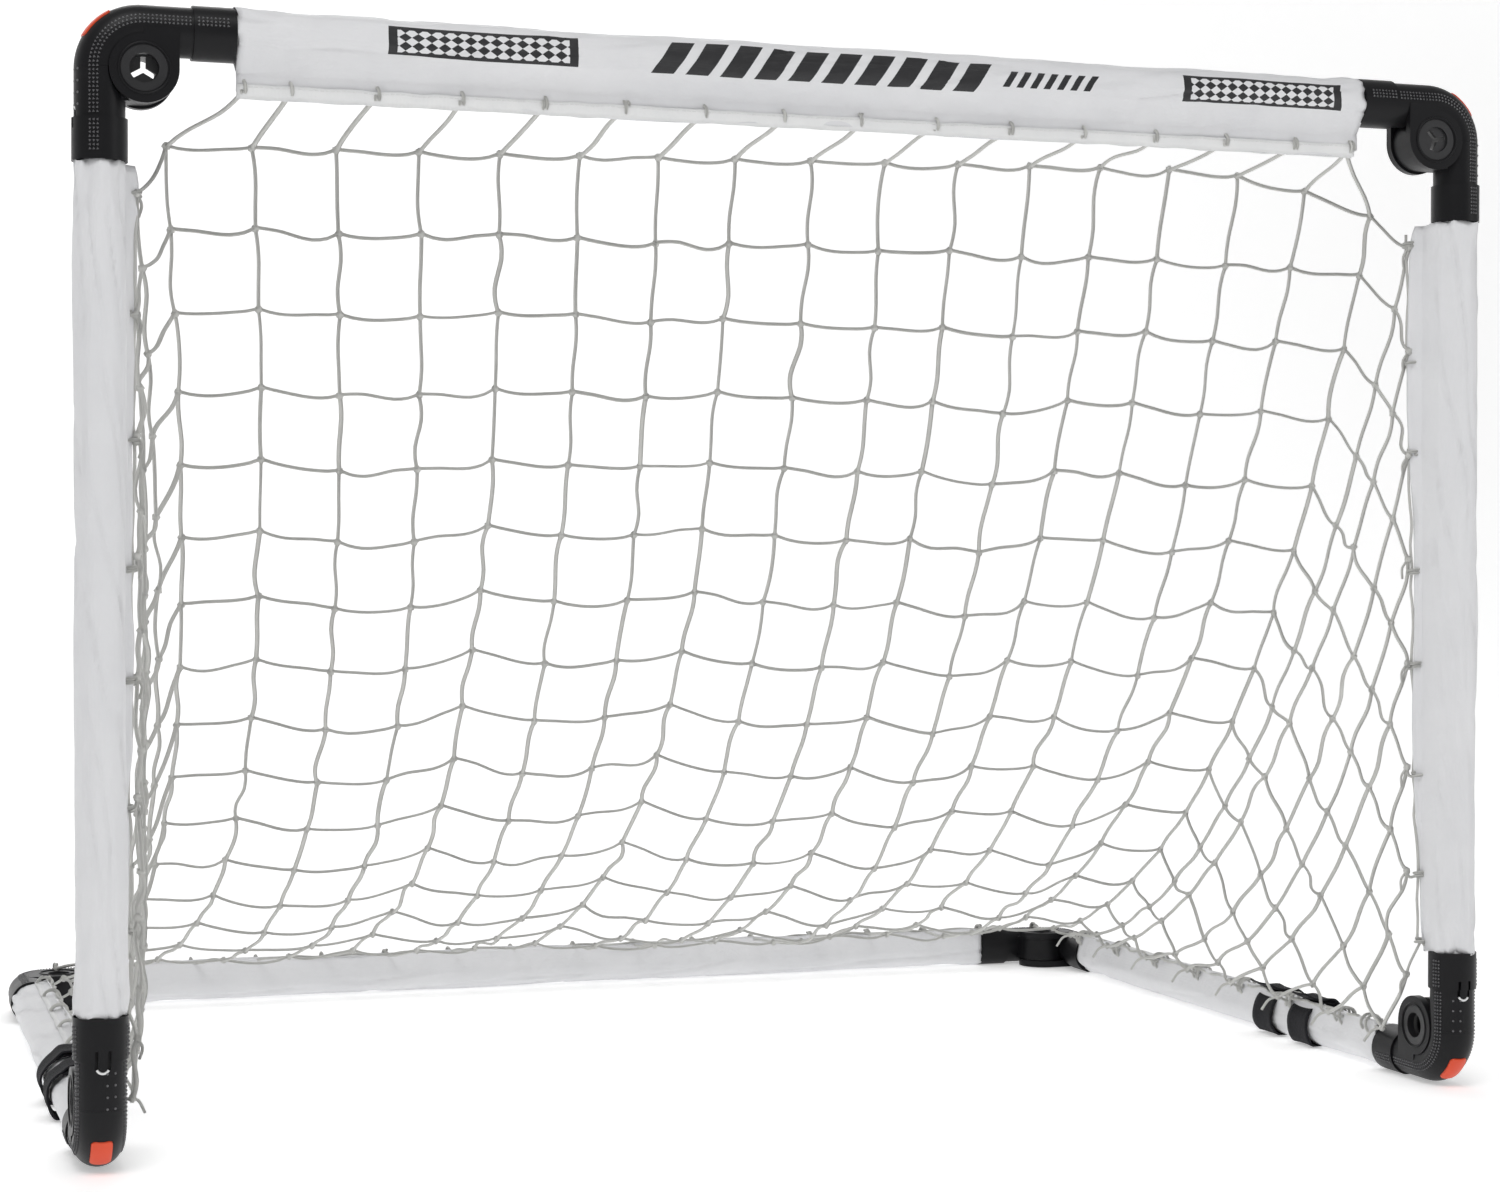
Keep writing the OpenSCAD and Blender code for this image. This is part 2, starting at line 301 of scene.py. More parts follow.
def cord_material():
    s = Shader("braided_cord", (0.66, 0.66, 0.63), 0.78, Sheen_Weight=0.15)
    s.tint(s.noise(24, 4), (0.62, 0.62, 0.59), (0.86, 0.86, 0.825))

    def strands(turn):
        """One of the braid's two sets of slanting strands, along and round the cord."""
        m = s.tree.nodes.new("ShaderNodeMapping")
        m.inputs["Rotation"].default_value = (0, 0, turn)
        s.join(s.place.outputs["UV"], m.inputs["Vector"])
        w = s.tree.nodes.new("ShaderNodeTexWave")
        w.inputs["Scale"].default_value = 1.1
        s.join(m.outputs["Vector"], w.inputs["Vector"])
        return w.outputs["Fac"]

    braid = s.math("MAXIMUM", strands(math.radians(38)), strands(math.radians(-38)))
    s.bump((braid, 0.0006, 0.9), (s.noise(900, 3), 0.0003, 0.5))
    return s.material


def thread_material():
    s = Shader("stitch_thread", (0.78, 0.78, 0.77), 0.7)
    s.tint(s.noise(200, 2), (0.7, 0.7, 0.7), (0.85, 0.85, 0.84))
    s.bump((s.noise(1500, 2), 0.0001, 0.6))
    return s.material


def floor_material():
    s = Shader("studio_floor", (0.95, 0.95, 0.95), 0.7, Emission_Color=(1, 1, 1, 1), Emission_Strength=0.36)
    s.rough(s.noise(3, 2), 0.65, 0.75)
    return s.material


# Painted highlight: the studs are raised bumps of the elbows' black moulding, and this light grey stands in
# for the light they catch.
def stud_painted_highlight_plastic():
    s = Shader("stud_grey_painted_highlight", (0.1, 0.1, 0.105), 0.34)
    s.tint(s.noise(60, 3), (0.07, 0.07, 0.075), (0.15, 0.15, 0.155))
    s.rough(s.noise(90, 4), 0.26, 0.42)
    s.bump((s.noise(1300, 2), 0.0001, 0.4))
    return s.material


STUD_PAINTED_HIGHLIGHT = stud_painted_highlight_plastic()
SLEEVE, BANNER = sleeve_material("coated_polyester"), sleeve_material("printed_polyester", printed=True)
HEM, BLACK, PINS = hem_material(), black_plastic(), pin_plastic()
ORANGE, WHITE_TUBE, STEEL, STRAP = button_plastic(), tube_plastic(), steel(), strap_material()
CORD, THREAD, FLOOR = cord_material(), thread_material(), floor_material()

CAD_LOOKS = {
    "bend": BLACK, "socket": BLACK, "pin": PINS, "button": ORANGE, "tube": WHITE_TUBE, "spring": STEEL,
}


def dress_cad_nodes():
    """The hard parts keep their CAD shapes, and each kind gets its material."""
    for name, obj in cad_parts.items():
        kind = name.split("_")[-1]
        if kind in CAD_LOOKS:
            obj.data.materials.clear()
            obj.data.materials.append(CAD_LOOKS[kind])


dress_cad_nodes()

# ------------------------ mesh helpers


def piece(name, vertices, faces, material, smooth=True, uvs=None):
    """A mesh object with one material; uvs, where given, has one place per vertex."""
    mesh = bpy.data.meshes.new(name)
    mesh.from_pydata([tuple(v) for v in vertices], [], faces)
    if uvs is not None:
        layer = mesh.uv_layers.new(name="along")
        loop_vertex = np.zeros(len(mesh.loops), np.int32)
        mesh.loops.foreach_get("vertex_index", loop_vertex)
        layer.data.foreach_set("uv", np.asarray(uvs, np.float32)[loop_vertex].ravel())
    mesh.materials.append(material)
    if smooth:
        mesh.polygons.foreach_set("use_smooth", [True] * len(mesh.polygons))
    mesh.validate()
    mesh.update()
    obj = bpy.data.objects.new(name, mesh)
    bpy.context.collection.objects.link(obj)
    return obj


def bands(first, rings, n):
    """Quads that join rings of n points, where the first ring starts at vertex first."""
    return [(a + k, a + (k + 1) % n, a + n + (k + 1) % n, a + n + k)
            for a in range(first, first + (rings - 1) * n, n) for k in range(n)]


def ends(first, rings, n):
    """The two faces that close a row of rings."""
    last = first + (rings - 1) * n
    return [tuple(range(first + n - 1, first - 1, -1)), tuple(range(last, last + n))]


def rough_noise(p, octaves):
    """Noise with finer and weaker layers on top."""
    return sum(noise.noise(Vector(p) * 2 ** k) * 0.5 ** k for k in range(octaves))


class Wires:
    """Cords gathered into one mesh: each is a tube along a line of points."""

    def __init__(self, sides=6):
        self.sides, self.v, self.f, self.uv = sides, [], [], []

    def add(self, line, radius, flat=1.0, capped=True):
        """A cord along a line; flat is its thickness as a share of its width."""
        line = np.asarray(line, float)
        along = np.gradient(line, axis=0)
        along /= np.maximum(np.linalg.norm(along, axis=1), 1e-9)[:, None]
        up = np.array([0.31, 0.22, 0.92]) if abs(along[0][2]) < 0.8 else np.array([0.9, 0.4, 0.1])
        travelled = np.concatenate([[0], np.cumsum(np.linalg.norm(np.diff(line, axis=0), axis=1))])
        first = len(self.v)
        for point, way, far in zip(line, along, travelled):
            side = np.cross(way, up)
            side /= max(np.linalg.norm(side), 1e-9)
            up = np.cross(side, way)
            for k in range(self.sides):
                a = math.tau * k / self.sides
                self.v.append(point + radius * (side * math.cos(a) + up * math.sin(a) * flat))
                self.uv.append((far * 1000 / 3.2, k / self.sides * 3.4))
        self.f += bands(first, len(line), self.sides)
        if capped:
            self.f += ends(first, len(line), self.sides)

    def knot(self, centre, radius, turn=0.0):
        """A small lump where cords meet."""
        rings, n, first = 5, 8, len(self.v)
        for i in range(rings):
            b = math.pi * (i + 0.5) / rings - math.pi / 2
            for k in range(n):
                a = math.tau * k / n + turn
                r = radius * (1 + 0.16 * math.sin(3 * a + 5 * b + turn))
                offset = (math.cos(a) * math.cos(b), math.sin(a) * math.cos(b) * 0.8, math.sin(b))
                self.v.append(np.asarray(centre) + r * np.array(offset))
                self.uv.append((k * 0.6, i * 0.7))
        self.f += bands(first, rings, n) + ends(first, rings, n)

    def build(self, name, material=CORD, slot="net"):
        return piece(name, self.v, self.f, material, uvs=self.uv)


def smooth_line(points, steps=5):
    """A Catmull-Rom curve through the points."""
    p = np.asarray(points, float)
    p = np.vstack([2 * p[0] - p[1], p, 2 * p[-1] - p[-2]])
    out = []
    for i in range(1, len(p) - 2):
        for k in range(steps):
            t = k / steps
            a, b, c, d = p[i - 1:i + 3]
            out.append(0.5 * (2 * b + (c - a) * t + (2 * a - 5 * b + 4 * c - d) * t * t
                              + (3 * b - a - 3 * c + d) * t ** 3))
    out.append(p[-2])
    return np.array(out)


# ------------------------ the net

CELLS_DOWN = 17
CELLS_ACROSS = 16
SIDE_CELLS = CELLS_DOWN // 2  # the most cells a row has on each side of the back
CORD_R = 0.0020
CORD_FLAT = 0.72  # a cord's thickness as a share of its width
HEM_DROP = 0.045  # how far the hem's edge hangs under the crossbar's axis
NET_EDGE_X = POST_X - 0.030
NET_TOP = np.array([FRONT_Y + 0.004, TOP_Z - HEM_DROP + 0.003])
NET_END = np.array([REAR_Y - 0.012, BASE_Z + 0.021])
TIE_SHARE = 0.05  # the first stretch, from the hem to the first row, as a share of the whole
SIDE_Z = BASE_Z + 0.024  # height of the net's ties over a side tube
POST_Y = FRONT_Y + 0.026  # place of the net's ties behind a post
ROW_ONE_BACK = 0.062  # how far behind the front tubes' axis the first row is held
ROW_ONE_DROP = 0.077  # how far under the crossbar's axis the first row is held at its low end
ROW_ONE_RISE = 0.026  # how much higher it is held at its other end
ROW_ONE_IN = 0.022  # how much nearer to the middle the first row's ends are than the net's edge
TOP_SHIFT = 0.020  # the hem's ties lean this far to one side
# How much longer the cords are than the straight net: down it, across its back and across its sides.
SLACK_DOWN, SLACK_ACROSS, SLACK_SIDES = 1.045, 0.965, 1.13
SETTLE_STEPS, PULLS = 260, 24  # steps of the fall, and rounds of pulling the cords tight in each
WEIGHT = 0.00012  # how far a free crossing would drop in the first step
KEEP = 0.96  # the share of its speed that a crossing keeps from one step to the next
DRIFT = 0.18  # how much of its weight leans the net to one side


def reach_of(j):
    """How many side cells row j spans."""
    return min(j, CELLS_DOWN - j)


def cells_out(i):
    """How many cells column i is outside the net's back, and 0 within it."""
    return max(0, -i, i - CELLS_ACROSS)


def share_of(j):
    """How far down the net row j is, from 0 at the hem to 1 at the rear bar."""
    return 0.0 if j == 0 else TIE_SHARE + (1 - TIE_SHARE) * (j - 1) / (CELLS_DOWN - 1)


def flat_place(i, j):
    """Where net crossing (i, j) is with the net pulled straight between the tubes."""
    t = share_of(j)
    y, z = NET_TOP + (NET_END - NET_TOP) * t
    if 0 <= i <= CELLS_ACROSS:
        x = (2 * i / CELLS_ACROSS - 1) * NET_EDGE_X
        if j <= 1:
            x = (2 * i / CELLS_ACROSS - 1) * (NET_EDGE_X - ROW_ONE_IN) + 0.004
        if j == 1:
            droop = max(0, i - CELLS_ACROSS + 3) ** 2 * 0.0042  # the last cells sink towards the post
            y, z = FRONT_Y + ROW_ONE_BACK, TOP_Z - ROW_ONE_DROP + ROW_ONE_RISE * i / CELLS_ACROSS - droop
        if j == 0:
            reach = POST_X - SOCKET_END - 0.006
            x = min(max(x + TOP_SHIFT, -reach), reach)
        return np.array([x, y, z])
    k = cells_out(i)
    sign = -1 if i < 0 else 1
    corner = np.array([POST_Y, SIDE_Z])
    across = corner - (NET_TOP + NET_END) / 2
    y, z = np.array([y, z]) + across * 2 * min(t, 1 - t) * k / reach_of(j)
    return np.array([sign * NET_EDGE_X, max(y, POST_Y), max(z, SIDE_Z)])


def pull_tight(place, there, free, rest, axis, start):
    """Shorten every second stretch of cord along one axis that is longer than its cord."""
    first, second = [slice(None), slice(None)], [slice(None), slice(None)]
    n = place.shape[axis] - 1
    first[axis], second[axis] = slice(start, n, 2), slice(start + 1, n + 1, 2)
    a, b = tuple(first), tuple(second)
    gap = place[b] - place[a]
    long = np.linalg.norm(gap, axis=2)
    want = rest[axis][start::2] if axis == 0 else rest[axis][:, start::2]
    over = np.maximum(long - want, 0) * (there[a] & there[b])
    push = gap / np.maximum(long, 1e-9)[..., None] * over[..., None]
    share = np.maximum(free[a] + free[b], 1e-9)[..., None]
    place[a] += push * free[a][..., None] / share
    place[b] -= push * free[b][..., None] / share


def cord_lengths(place, rng):
    """The length of each stretch of cord, along the rows and down the net."""
    rest = {}
    for axis, slack in ((0, SLACK_ACROSS), (1, SLACK_DOWN)):
        first = place[:-1] if axis == 0 else place[:, :-1]
        second = place[1:] if axis == 0 else place[:, 1:]
        rest[axis] = np.linalg.norm(second - first, axis=2) * slack
        rest[axis] *= 1 + rng.normal(0, 0.02, rest[axis].shape)
    for edge in (slice(0, SIDE_CELLS), slice(SIDE_CELLS + CELLS_ACROSS, len(rest[0]))):
        rest[0][edge] *= SLACK_SIDES / SLACK_ACROSS
    return rest


def hang_net():
    """Relax the net's crossings under gravity: cords don't stretch, and may go slack."""
    columns, rows = CELLS_ACROSS + 2 * SIDE_CELLS + 1, CELLS_DOWN + 1
    place = np.zeros((columns, rows, 3))
    there = np.zeros((columns, rows), bool)
    fixed = np.zeros((columns, rows), bool)
    for a in range(columns):
        i = a - SIDE_CELLS
        k = cells_out(i)
        for j in range(rows):
            if k <= reach_of(j):
                there[a, j] = True
                place[a, j] = flat_place(i, j)
                fixed[a, j] = j in (0, rows - 1) or (k == 0 and j == 1) or (k > 0 and k == reach_of(j))
    rng = np.random.default_rng(7)
    rest = cord_lengths(place, rng)
    free = (there & ~fixed).astype(float)
    before = place - rng.normal(0, 0.0008, place.shape) * free[..., None]
    for _ in range(SETTLE_STEPS):
        step = (place - before) * KEEP
        before = place.copy()
        place = place + step * free[..., None]
        place[..., 2] -= WEIGHT * free
        place[..., 0] += DRIFT * WEIGHT * free
        for _ in range(PULLS):
            for axis, start in ((0, 0), (0, 1), (1, 0), (1, 1)):
                pull_tight(place, there, free, rest, axis, start)
        place[..., 2] = np.where(free > 0, np.maximum(place[..., 2], BASE_Z + 0.004), place[..., 2])
        place[..., 0] = np.clip(place[..., 0], -NET_EDGE_X, NET_EDGE_X)  # it hangs inside the tubes
    return place, there


net_place, net_there = hang_net()


def net_edges():
    """Each stretch of cord between two crossings."""
    columns, rows = net_there.shape
    for a in range(columns):
        for j in range(rows):
            for da, dj in ((1, 0), (0, 1)):
                b, k = a + da, j + dj
                if b >= columns or k >= rows or not (net_there[a, j] and net_there[b, k]):
                    continue
                if dj == 0 and j in (0, rows - 1):
                    continue
                yield (a, j), (b, k)


def on_leg(a, j):
    """-1 or 1 where a crossing is tied to a post or side tube on that side, and 0 elsewhere."""
    i = a - SIDE_CELLS
    if cells_out(i) > 0 and cells_out(i) == reach_of(j):
        return -1 if i < 0 else 1
    return 0


def cord_between(p, q, rng, horizontal):
    """Points of a stretch of cord: a shallow hang, and the crooked set of a used cord."""
    long = float(np.linalg.norm(q - p))
    way = (q - p) / max(long, 1e-9)
    side = np.cross(way, (0, 0, 1))
    side /= max(np.linalg.norm(side), 1e-6)
    up = np.cross(side, way)
    bow = rng.normal(0, 0.0012, 2)
    twist = rng.normal(0, 0.0011, 2)
    drop, rise = (0.0030, 0.0016) if horizontal else (0.0, 0.0)  # a row's cord hangs, most at its far end
    out = []
    for t in (0.14, 0.32, 0.5, 0.68, 0.86):
        arch = 4 * t * (1 - t)
        wave = math.sin(math.tau * t)
        kick = rise * (1 - 2 * t)
        out.append(p + (q - p) * t + side * (bow[0] * arch + twist[0] * wave)
                   + up * (bow[1] * arch + twist[1] * wave + kick * arch) - np.array([0, 0, drop * arch]))
    return out


def make_net():
    """The net's cords and knots in one mesh."""
    rng = np.random.default_rng(11)
    wires = Wires()
    knotted = set()
    for start, end in net_edges():
        p, q = net_place[start], net_place[end]
        horizontal = start[1] == end[1]
        shift = np.array([0, 0, 0.0008 if horizontal else -0.0006])  # the rows lie over what they cross
        inner = cord_between(p, q, rng, horizontal)
        line = smooth_line([p + shift] + inner + [q + shift], 2)
        wires.add(line, CORD_R * rng.normal(1, 0.05), flat=CORD_FLAT)
        for spot in (start, end):
            if spot not in knotted:
                knotted.add(spot)
                wires.knot(net_place[spot], CORD_R * 1.7, rng.uniform(0, 6))
    return wires.build("net_mesh")


net_mesh = make_net()
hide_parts("net_back", "net_left", "net_right")
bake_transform(net_mesh)

# ------------------------ fabric sleeves


class Run:
    """A tube's line: origin at one end, the way it runs, and two directions across it."""

    def __init__(self, start, way, out, length):
        self.start, self.way = Vector(start), Vector(way).normalized()
        self.out = Vector(out).normalized()
        self.up = self.way.cross(self.out)
        self.length = length

    def at(self, along, across, lift):
        """The point so far along the tube, out from its axis, and square to both."""
        return self.start + self.way * along + self.out * across + self.up * lift


SLEEVE_R = 0.0195  # radius of a sleeve's loop round its tube
FLAP_ROOT = SLEEVE_R + 0.006  # where its flap starts, from the tube's axis
FLAP_HALF = 0.0011  # half a flap's thickness
HEM_FLAP = 0.0205  # width of the crossbar's flap
POST_FLAP = (0.004, 0.017)  # a post's flap at its foot and at its top
SEAM_FLAP = 0.003  # the narrow seams of the tubes on the ground
CLOTH_THICK = 0.0005
SLEEVE_SHORT = HEIGHT - 2 * SOCKET_END
SLEEVE_LONG = WIDTH - 2 * SOCKET_END
SLEEVE_POINTS = 64  # points round a sleeve


def sleeve_outline(flap):
    """Points round a sleeve: an easy loop round the tube that closes into a flat flap along +out.

    A point is its place along out, its place across, and how far out on the flap it is, from 0 to 1.
    """
    tip = FLAP_ROOT + flap
    side = SLEEVE_POINTS // 8
    upper = [(tip + (FLAP_ROOT - tip) * k / side, FLAP_HALF, 1 - k / side) for k in range(side)]
    turn = math.radians(52)
    arc = SLEEVE_POINTS - 2 * side
    angles = (turn + (math.tau - 2 * turn) * k / arc for k in range(arc + 1))
    loop = [(math.cos(a) * SLEEVE_R, math.sin(a) * SLEEVE_R, 0.0) for a in angles]
    lower = [(FLAP_ROOT + (tip - FLAP_ROOT) * k / side, -FLAP_HALF, k / side) for k in range(1, side + 1)]
    return upper + loop + lower


def cloth_place(a, b, on_flap, along, end, gather, seed, stray):
    """Where a point of a sleeve's outline goes with its folds, end being the way to the nearer end."""
    angle = math.atan2(b, a)
    if on_flap > 0:
        ripple = rough_noise((along * 14 + seed * 4, 0.5, on_flap), 2) * 0.0034
        hang = 0.0018 * math.sin(along * 21 + seed) - 0.006 * math.exp(-end / 0.012)
        a, b = a + hang * on_flap, b + ripple * on_flap
    else:
        soft = rough_noise((along * 9 + seed * 5, math.cos(angle) * 1.1, math.sin(angle) * 1.1), 3) * stray
        folds = rough_noise((along * 30 + seed, angle * 1.3, seed * 2.1), 2) * 0.0034 * gather
        line = abs(rough_noise((along * 5 + seed * 9, angle * 0.8 + along * 6, 4.2), 2))
        crease = -0.0017 * max(0.0, 1 - line * 8)
        grow = 1 + (soft + folds + crease) / SLEEVE_R
        a, b = a * grow, b * grow
    return along + 0.0015 * gather * math.sin(5 * angle + seed), a, b


def make_sleeve(name, run, body_name, flaps, seed, stray, material=SLEEVE):
    """A fabric sleeve on a tube, with folds that gather towards its ends.

    flaps is the flap's width at each end of the sleeve, and stray is how far the cloth strays from round.
    """
    rings = int(run.length / 0.006)
    vertices, uvs = [], []
    for r in range(rings + 1):
        along = run.length * r / rings
        end = min(along, run.length - along)
        gather = math.exp(-end / 0.045)
        outline = sleeve_outline(flaps[0] + (flaps[1] - flaps[0]) * r / rings)
        for k, (a, b, on_flap) in enumerate(outline):
            vertices.append(run.at(*cloth_place(a, b, on_flap, along, end, gather, seed, stray)))
            uvs.append((along, k / SLEEVE_POINTS * 0.14))
    faces = bands(0, rings + 1, SLEEVE_POINTS + 1)
    obj = piece(name, vertices, faces, material, uvs=uvs)
    bm = bmesh.new()
    bm.from_mesh(obj.data)
    bmesh.ops.recalc_face_normals(bm, faces=bm.faces)
    bm.to_mesh(obj.data)
    bm.free()
    cloth = obj.modifiers.new("cloth thickness", "SOLIDIFY")
    cloth.thickness = CLOTH_THICK
    cloth.offset = -1
    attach(obj, body_name)
    return obj


def cover(name, run, body_name, flaps, seed, stray, material=SLEEVE):
    """A tube's sleeve in place of its plain CAD one."""
    obj = make_sleeve(f"{name}_cover", run, body_name, flaps, seed, stray, material)
    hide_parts(f"{name}_sleeve")


def sleeves():
    first, seams = -POST_X + SOCKET_END, (SEAM_FLAP, SEAM_FLAP)
    top = Run((first, FRONT_Y, TOP_Z), (1, 0, 0), (0, 0, -1), SLEEVE_LONG)
    cover("crossbar", top, "crossbar", (HEM_FLAP, HEM_FLAP), 1, 0.0024, BANNER)
    for sign, word in SIDE_WORD.items():
        x = sign * POST_X
        post = Run((x, FRONT_Y, BASE_Z + SOCKET_END), (0, 0, 1), (-sign, 1, 0), SLEEVE_SHORT)
        cover(f"{word}_post", post, f"{word}_post", POST_FLAP, 3 + sign, 0.0016)
        side = Run((x, FRONT_Y + SOCKET_END, BASE_Z), (0, 1, 0), (-sign * 0.55, 0, 0.83), SLEEVE_SHORT)
        cover(f"{word}_side", side, f"{word}_side", seams, 7 + sign, 0.0012)
    rear = Run((first, REAR_Y, BASE_Z), (1, 0, 0), (0, -0.6, 0.8), SLEEVE_LONG)
    cover("rear_bar", rear, "rear_bar", seams, 12, 0.0012)


sleeves()

# ------------------------ details on the elbows


class Elbow:
    """A corner elbow's own directions: u along the bend's arm, v along the socket's arm, w across."""

    def __init__(self, name, corner, u, v, bend_body, socket_body):
        self.name, self.corner = name, Vector(corner)
        self.u, self.v = Vector(u), Vector(v)
        self.w = self.u.cross(self.v)
        self.bend_body, self.socket_body = bend_body, socket_body

    def at(self, u, v, w):
        """The point at these distances from the corner where the two tube axes meet."""
        return self.corner + self.u * u + self.v * v + self.w * w


def elbows():
    """The six corners, left then right: at the top, at the front foot and at the rear."""
    found = []
    for sign, word in SIDE_WORD.items():
        x = sign * POST_X
        inward = (-sign, 0, 0)
        found.append(Elbow(f"top_{word}", (x, FRONT_Y, TOP_Z), inward, (0, 0, -1),
                           "crossbar", f"{word}_post"))
        found.append(Elbow(f"{word}_front", (x, FRONT_Y, BASE_Z), (0, 1, 0), (0, 0, 1),
                           f"{word}_side", f"{word}_post"))
        found.append(Elbow(f"{word}_rear", (x, REAR_Y, BASE_Z), (0, -1, 0), inward,
                           f"{word}_side", "rear_bar"))
    return found


COLLAR_START = 0.068  # how far along an arm its wider collar starts
STRIP_R = 0.037  # radius of the raised strip round the hinge
STRIP_ROWS = (-0.0027, 0.0, 0.0027)  # the strip's rows of dots, from its middle
DOT_STEP = 0.0031
DOT_R, DOT_TALL = 0.0013, 0.0008
RIM_R = 0.0191  # radius of the ring round a pin's head
TAB_AT = COLLAR_START - 0.004  # place of the slot's round end along a socket
TAB_R = 0.0048  # radius of that round end


class Studs:
    """Small raised studs gathered into one mesh."""

    def __init__(self):
        self.v, self.f = [], []

    def add(self, centre, normal, radius, tall, sides, turn=0.0):
        normal = Vector(normal).normalized()
        side = normal.orthogonal().normalized()
        other = normal.cross(side)
        first = len(self.v)
        for ring, lift in ((1.0, -0.0004), (0.8, tall * 0.7), (0.35, tall)):
            for k in range(sides):
                a = math.tau * k / sides + turn
                self.v.append(centre + side * (math.cos(a) * radius * ring)
                              + other * (math.sin(a) * radius * ring) + normal * lift)
        self.f += bands(first, 3, sides) + ends(first, 3, sides)[::-1]


def arm_radius(along):
    """An elbow's outer radius at this distance along an arm."""
    return COLLAR_R if along >= COLLAR_START else BODY_R


def strip_dots(elbow, bend, socket):
    """The raised strip that follows the bend on both flat sides, and runs out along both arms."""
    for face in (-1, 1):
        for offset in STRIP_ROWS:
            radius = STRIP_R + offset
            steps = int(radius * math.pi / 2 / DOT_STEP)
            for k in range(steps + 1):
                a = math.pi + math.pi / 2 * k / steps
                out = radius - HINGE
                lift = math.sqrt(BODY_R ** 2 - out ** 2)
                spoke = elbow.u * math.cos(a) + elbow.v * math.sin(a)
                place = elbow.at(HINGE, HINGE, face * lift) + spoke * radius
                bend.add(place, elbow.w * face * lift + spoke * out, DOT_R, DOT_TALL, 3, k * 2.1)
            across = HINGE - radius
            along = HINGE + DOT_STEP
            while along < SOCKET_END - 0.006:
                if abs(along - COLLAR_START) > 0.0016:
                    lift = math.sqrt(arm_radius(along) ** 2 - across ** 2)
                    normal = elbow.w * face * lift
                    bend.add(elbow.at(along, across, face * lift), normal + elbow.v * across,
                             DOT_R, DOT_TALL, 3, along * 900)
                    socket.add(elbow.at(across, along, face * lift), normal + elbow.u * across,
                               DOT_R, DOT_TALL, 3, along * 900)
                along += DOT_STEP


def grip_dots(elbow, socket):
    """Four rows of two dots on the socket's outer face, beside the middle."""
    toward = Vector((-math.copysign(1, elbow.corner.x), -1, 1))
    side = math.copysign(1, elbow.w.dot(toward))
    for angle in (10, 29):
        for row in range(4):
            a = math.radians(angle) * side
            normal = -elbow.u * math.cos(a) + elbow.w * math.sin(a)
            place = elbow.corner + elbow.v * (0.0325 + 0.0088 * row) + normal * BODY_R
            socket.add(place, normal, 0.0011, 0.0007, 8)


def tab_lip(elbow):
    """The tube's white edge, seen in the round end of the slot on a socket's outer face."""
    line, sunk = [], 0.0007
    for k in range(17):
        a = math.radians(-66 + 8 * k)
        across = TAB_R * math.sin(a)
        surface = -math.sqrt(BODY_R ** 2 - across ** 2)
        line.append(tuple(elbow.at(surface + sunk, TAB_AT - TAB_R * math.cos(a), across)))
    lip = Wires(sides=8)
    lip.add(line, 0.00105)
    obj = lip.build(f"{elbow.name}_tab_lip", WHITE_TUBE, "tube")
    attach(obj, elbow.socket_body)


def elbow_details():
    """Raised studs, the slot's white edge and the rings round the pin, on every elbow."""
    for elbow in elbows():
        tab_lip(elbow)
        bend, socket = Studs(), Studs()
        strip_dots(elbow, bend, socket)
        grip_dots(elbow, socket)
        for studs, word, body in ((bend, "bend", elbow.bend_body), (socket, "socket", elbow.socket_body)):
            # The studs get the light grey painted highlight.
            obj = piece(f"{elbow.name}_{word}_studs", studs.v, studs.f, STUD_PAINTED_HIGHLIGHT, smooth=False)
            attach(obj, body)
        for face in (-1, 1):
            ring = Wires(sides=8)
            circle = [elbow.at(HINGE, HINGE, face * (EAR_W + 0.0001))
                      + (elbow.u * math.cos(a) + elbow.v * math.sin(a)) * RIM_R
                      for a in (math.tau * k / 48 for k in range(49))]
            ring.add([tuple(p) for p in circle], 0.0008, capped=False)
            obj = ring.build(f"{elbow.name}_rim_{'front' if face < 0 else 'back'}", BLACK, "elbow")
            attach(obj, elbow.bend_body)


elbow_details()

# ------------------------ straps


STRAP_R = 0.0215  # radius of a strap's first turn
STRAP_HALF = 0.0009  # half its thickness
STRAP_SWEEP = math.radians(395)
TAIL_STEPS, TAIL_STEP = 8, 0.0028  # the free tail past the wrap


def strap_path(seed):
    """The strap's line round its tube and along its tail, and its outward direction at each point."""
    start, steps = math.radians(60), 84
    path, outward = [], []
    for k in range(steps + 1):
        t = k / steps
        a = start + STRAP_SWEEP * t
        lap = max(0.0, (a - start - math.tau) / (STRAP_SWEEP - math.tau))
        radius = STRAP_R + 0.0009 * min(1.0, t * 3) + 0.0021 * min(1.0, lap * 2.2)
        radius += 0.0005 * math.sin(5 * a + seed)
        outward.append(Vector((math.cos(a), math.sin(a))))
        path.append(outward[-1] * radius)
    tip, away = path[-1], outward[-1]
    way = Vector((-away.y, away.x))
    for k in range(1, TAIL_STEPS + 1):
        path.append(tip + way * TAIL_STEP * k + away * (0.000132 * k * k))
        outward.append(away)
    return path, outward


def make_strap(node, word, sign, seed):
    """A hook-and-loop strap wrapped once and a bit round a side tube, with its tail lying on top."""
    low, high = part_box(node)
    mid_y, wide = (low.y + high.y) / 2, high.y - low.y
    path, outward = strap_path(seed)
    vertices, columns = [], 9
    for k, (p, n) in enumerate(zip(path, outward)):
        t = k / (len(path) - 1)
        for face in (1, -1):
            for c in range(columns)[::face]:
                s = 2 * c / (columns - 1) - 1
                edge = 1 + 0.03 * math.sin(9 * t + seed + s * 2)
                y = mid_y + s * wide / 2 * edge + 0.0015 * math.sin(4 * t + seed)
                curl = 0.0008 * s * s * (1 + t)
                q = p + n * (curl + face * STRAP_HALF)
                ground = 0.0006 + STRAP_HALF * (1 if face > 0 else 2.2)
                vertices.append((sign * (POST_X + q.x), y, max(BASE_Z + q.y, ground)))
    faces = bands(0, len(path), 2 * columns) + ends(0, len(path), 2 * columns)
    obj = piece(f"{node}_band", vertices, faces, STRAP)
    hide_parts(node)
    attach(obj, f"{word}_side")


